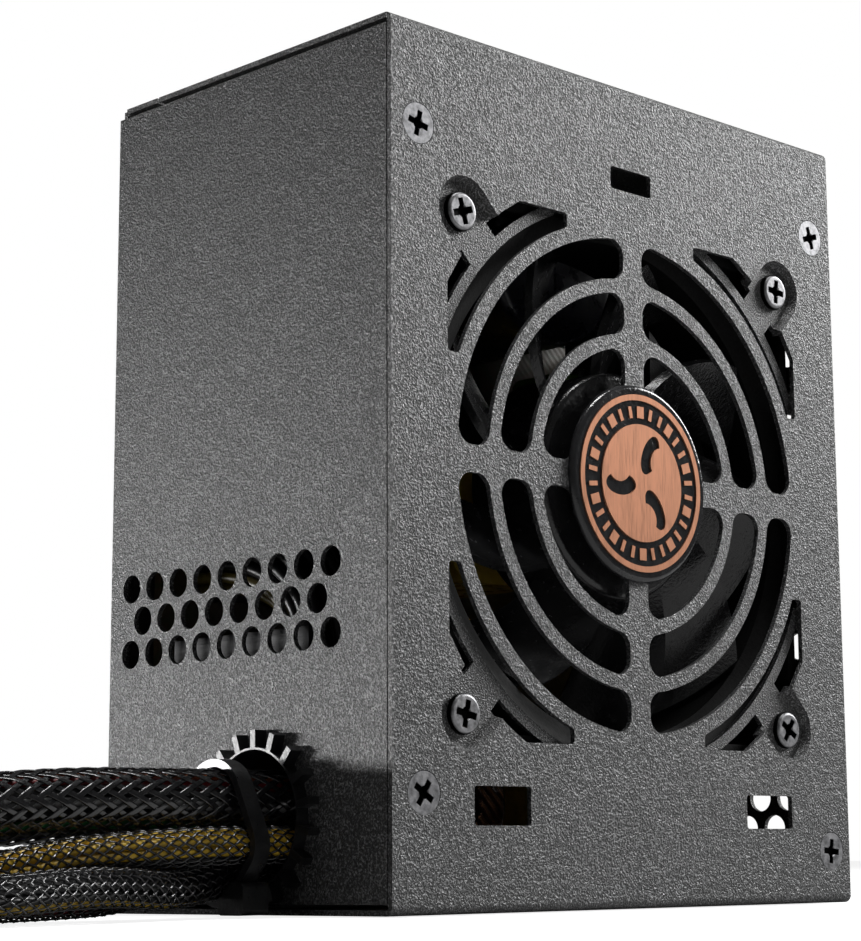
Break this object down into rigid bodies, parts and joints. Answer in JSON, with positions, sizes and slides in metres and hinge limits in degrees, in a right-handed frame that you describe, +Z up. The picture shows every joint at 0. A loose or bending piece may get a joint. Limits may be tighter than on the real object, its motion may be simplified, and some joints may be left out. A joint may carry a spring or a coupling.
{
  "type": "power supply unit",
  "caption": "Small form factor computer power supply with a slotted fan grille, copper hub badge, rocker switch, mains inlet and fixed braided output cables.",
  "frame": {"origin": "centre of the 100 x 63.5 mm side that the unit rests on", "axes": "+Z up along the 125 mm height; the fan face looks along -Y, the cable face along -X and the inlet face along +X"},
  "size_m": [0.2652, 0.1404, 0.125],
  "materials": {
    "powder_coat": "fine sandy powder coat",
    "steel_screw": "satin",
    "black_gloss": "gloss",
    "copper": "brushed copper",
    "black_matt": "matt",
    "magnet": "matt",
    "bright_steel": "polished",
    "bronze": "satin",
    "wound_copper": "enamelled",
    "board_green": "satin",
    "board_tan": "matt",
    "white_plastic": "satin",
    "wire_black": "satin",
    "wire_earth": "satin",
    "sheet_insulation": "satin",
    "capacitor_sleeve": "gloss",
    "yellow_tape": "satin",
    "core_winding": "enamelled",
    "film_yellow": "gloss",
    "aluminium": "satin",
    "epoxy": "matt",
    "thermistor_green": "gloss",
    "braid": "braided",
    "tin": "satin"
  },
  "bodies": {
    "casing": {"casing_base": "powder_coat", "fan_cover": "powder_coat", "cover_screws": "steel_screw", "fan_screws": "steel_screw", "insulation_sheet": "sheet_insulation", "board_standoffs": "bronze", "board_screws": "steel_screw", "badge_base": "black_gloss", "badge_ring": "copper", "badge_emblem": "copper", "fan_frame": "black_matt", "fan_bearing": "bronze", "fan_stator": "wound_copper", "fan_circuit_board": "board_green", "fan_lead": "wire_black", "fan_plug": "white_plastic", "inlet_socket": "black_matt", "inlet_pins": "tin", "inlet_screws": "steel_screw", "switch_housing": "black_matt", "switch_terminals": "tin", "mains_wires": "wire_black", "earth_wire": "wire_earth", "earth_lug": "tin", "main_board": "board_tan", "bulk_capacitor": "capacitor_sleeve", "output_capacitors": "capacitor_sleeve", "main_transformer": "yellow_tape", "standby_transformer": "yellow_tape", "boost_choke": "core_winding", "line_choke": "core_winding", "output_choke": "core_winding", "film_capacitors": "film_yellow", "primary_heatsink": "aluminium", "secondary_heatsink": "aluminium", "wall_heatsink": "aluminium", "power_transistors": "epoxy", "rectifiers": "epoxy", "bridge_rectifier": "epoxy", "fuse": "white_plastic", "thermistor": "thermistor_green", "control_board": "board_green", "edge_grommet": "black_gloss", "bundle_tie": "black_matt", "wire_loom": "wire_black", "main_cable": "braid", "cpu_cable": "braid", "graphics_cable": "braid", "drive_cable": "braid", "main_plug": "black_matt", "main_side_plug": "black_matt", "cpu_plugs": "black_matt", "graphics_plugs": "black_matt", "drive_plug": "black_matt"},
    "rotor": {"fan_rotor": "black_gloss", "rotor_magnet": "magnet", "fan_shaft": "bright_steel", "fan_clip": "bright_steel"},
    "rocker": {"switch_rocker": "black_gloss"}
  },
  "joints": [
    {"name": "fan_spin", "type": "hinge", "parent": "casing", "child": "rotor", "pos_m": [0, -0.022, 0.06285], "axis": [0, 1, 0], "continuous": true},
    {"name": "rocker_tilt", "type": "hinge", "parent": "casing", "child": "rocker", "pos_m": [0.0486, 0.002, 0.047], "axis": [0, 1, 0], "range_deg": [-20, 0]}
  ]
}
